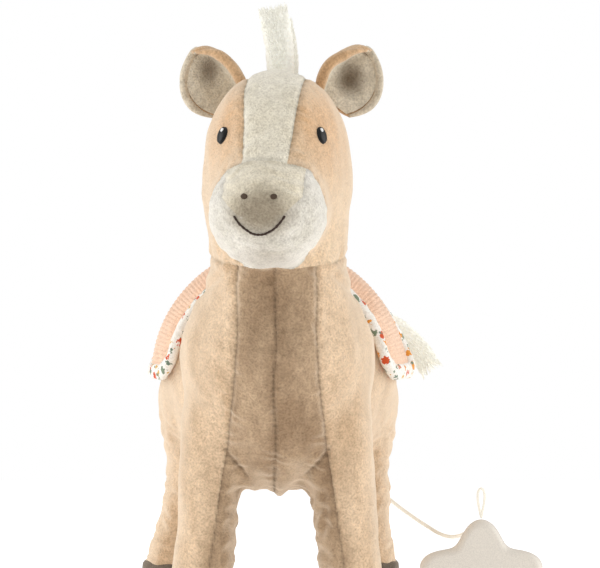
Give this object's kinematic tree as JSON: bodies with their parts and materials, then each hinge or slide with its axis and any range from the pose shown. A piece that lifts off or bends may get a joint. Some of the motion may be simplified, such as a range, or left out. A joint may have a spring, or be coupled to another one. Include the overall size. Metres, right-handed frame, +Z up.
{
  "type": "plush horse",
  "caption": "Standing plush horse with a padded saddle cloth, upright forelock and a star-shaped pull-cord handle that winds a musical movement inside the body.",
  "frame": {"origin": "on the floor under the hooves, at the middle of the box round the horse without its pull cord and handle", "axes": "+Z up, -Y the way the horse faces, +X its own left side"},
  "size_m": [0.1683, 0.1898, 0.2659],
  "materials": {
    "tan_plush": "short velour pile, matt with a pale sheen at the edges",
    "cream_plush": "short velour pile",
    "white_pile": "longer soft pile",
    "taupe_plush": "short velour pile",
    "ear_lining": "short velour pile",
    "saddle_cotton": "ribbed corduroy with a padded printed cotton border",
    "black_thread": "satin embroidery stitches",
    "brown_thread": "embroidery stitches",
    "stuffing_fibre": "loose polyester fibre",
    "cream_cord": "braided cord",
    "handle_plastic": "satin moulded",
    "case_plastic": "satin moulded",
    "brass": "turned and stamped",
    "spring_steel": "hardened strip and screws"
  },
  "bodies": {
    "torso": {"body_stuffing": "stuffing_fibre", "belly_panel": "tan_plush", "chest_panel_left": "tan_plush", "chest_panel_right": "tan_plush", "side_panel_left": "tan_plush", "side_panel_right": "tan_plush", "saddle_centre": "saddle_cotton", "cord_grommet": "cream_plush", "movement_case_base": "case_plastic", "movement_case_lid": "case_plastic", "case_screw_1": "spring_steel", "case_screw_2": "spring_steel", "bedplate": "brass", "comb": "spring_steel", "comb_screw_1": "spring_steel", "comb_screw_2": "spring_steel", "mainspring": "spring_steel", "reel_shaft": "spring_steel", "pull_cord": "cream_cord"},
    "head": {"head_stuffing": "stuffing_fibre", "head_side_left": "tan_plush", "head_side_right": "tan_plush", "blaze_panel": "cream_plush", "nose_panel": "cream_plush", "muzzle_side_left": "white_pile", "muzzle_side_right": "white_pile", "eye_left": "black_thread", "eye_right": "black_thread", "nostril_left": "brown_thread", "nostril_right": "brown_thread", "mouth_stitch": "brown_thread", "forelock": "white_pile", "mane": "white_pile"},
    "ear_left": {"ear_outer_left": "tan_plush", "ear_lining_left": "ear_lining"},
    "ear_right": {"ear_outer_right": "tan_plush", "ear_lining_right": "ear_lining"},
    "leg_front_left": {"stuffing_front_left": "stuffing_fibre", "cover_front_left": "tan_plush", "hoof_front_left": "taupe_plush"},
    "leg_front_right": {"stuffing_front_right": "stuffing_fibre", "cover_front_right": "tan_plush", "hoof_front_right": "taupe_plush"},
    "leg_hind_left": {"stuffing_hind_left": "stuffing_fibre", "cover_hind_left": "tan_plush", "hoof_hind_left": "taupe_plush"},
    "leg_hind_right": {"stuffing_hind_right": "stuffing_fibre", "cover_hind_right": "tan_plush", "hoof_hind_right": "taupe_plush"},
    "tail": {"tail": "white_pile"},
    "flap_left": {"saddle_flap_left": "saddle_cotton"},
    "flap_right": {"saddle_flap_right": "saddle_cotton"},
    "handle": {"pull_handle": "handle_plastic", "handle_loop": "cream_cord"},
    "reel": {"cord_reel": "case_plastic", "cord_winding": "cream_cord"},
    "cylinder": {"pinned_cylinder": "brass"},
    "governor": {"governor_fan": "brass"}
  },
  "joints": [
    {"name": "head_turn", "type": "hinge", "parent": "torso", "child": "head", "pos_m": [-0.009, -0.0387, 0.15], "axis": [0, 0, 1], "range_deg": [-20, 20], "stiffness_Nm_per_rad": 0.25},
    {"name": "ear_bend_left", "type": "hinge", "parent": "head", "child": "ear_left", "pos_m": [0.01375, -0.02739, 0.2285], "axis": [0.7376, -0.0906, -0.6691], "range_deg": [-25, 25], "stiffness_Nm_per_rad": 0.02},
    {"name": "ear_bend_right", "type": "hinge", "parent": "head", "child": "ear_right", "pos_m": [-0.02834, -0.02222, 0.2285], "axis": [-0.7376, 0.0906, -0.6691], "range_deg": [-25, 25], "stiffness_Nm_per_rad": 0.02},
    {"name": "hip_front_left", "type": "hinge", "parent": "torso", "child": "leg_front_left", "pos_m": [0.018, -0.0367, 0.082], "axis": [1, 0, 0], "range_deg": [-12, 12], "stiffness_Nm_per_rad": 1.2},
    {"name": "hip_front_right", "type": "hinge", "parent": "torso", "child": "leg_front_right", "pos_m": [-0.036, -0.0367, 0.082], "axis": [1, 0, 0], "range_deg": [-12, 12], "stiffness_Nm_per_rad": 1.2},
    {"name": "hip_hind_left", "type": "hinge", "parent": "torso", "child": "leg_hind_left", "pos_m": [0.0275, 0.0463, 0.085], "axis": [1, 0, 0], "range_deg": [-12, 12], "stiffness_Nm_per_rad": 1.2},
    {"name": "hip_hind_right", "type": "hinge", "parent": "torso", "child": "leg_hind_right", "pos_m": [-0.0455, 0.0463, 0.085], "axis": [1, 0, 0], "range_deg": [-12, 12], "stiffness_Nm_per_rad": 1.2},
    {"name": "tail_swing", "type": "hinge", "parent": "torso", "child": "tail", "pos_m": [-0.009, 0.0748, 0.144], "axis": [0, 1, 0], "range_deg": [-30, 30], "stiffness_Nm_per_rad": 0.03},
    {"name": "flap_lift_left", "type": "hinge", "parent": "torso", "child": "flap_left", "pos_m": [0.03274, 0.0243, 0.14959], "axis": [0, -1, 0], "range_deg": [0, 60]},
    {"name": "flap_lift_right", "type": "hinge", "parent": "torso", "child": "flap_right", "pos_m": [-0.05074, 0.0243, 0.14959], "axis": [0, 1, 0], "range_deg": [0, 60]},
    {"name": "cord_pull", "type": "slide", "parent": "torso", "child": "handle", "axis": [1, 0, 0], "range_m": [0, 0.2], "stiffness_N_per_m": 12, "deforming": ["pull_cord"]},
    {"name": "reel_spin", "type": "hinge", "parent": "torso", "child": "reel", "pos_m": [-0.0195, 0.0313, 0.11], "axis": [0, 0, 1], "range_deg": [0, 1400]},
    {"name": "cylinder_spin", "type": "hinge", "parent": "torso", "child": "cylinder", "pos_m": [0.002, 0.0238, 0.116], "axis": [1, 0, 0], "range_deg": [-900, 0]},
    {"name": "governor_spin", "type": "hinge", "parent": "torso", "child": "governor", "pos_m": [0.002, 0.0398, 0.113], "axis": [0, 0, 1], "range_deg": [0, 360]}
  ],
  "couplings": [
    {"joint": "reel_spin", "follows": "cord_pull", "rad_per_m": 117.6},
    {"joint": "cylinder_spin", "follows": "cord_pull", "rad_per_m": -70}
  ]
}
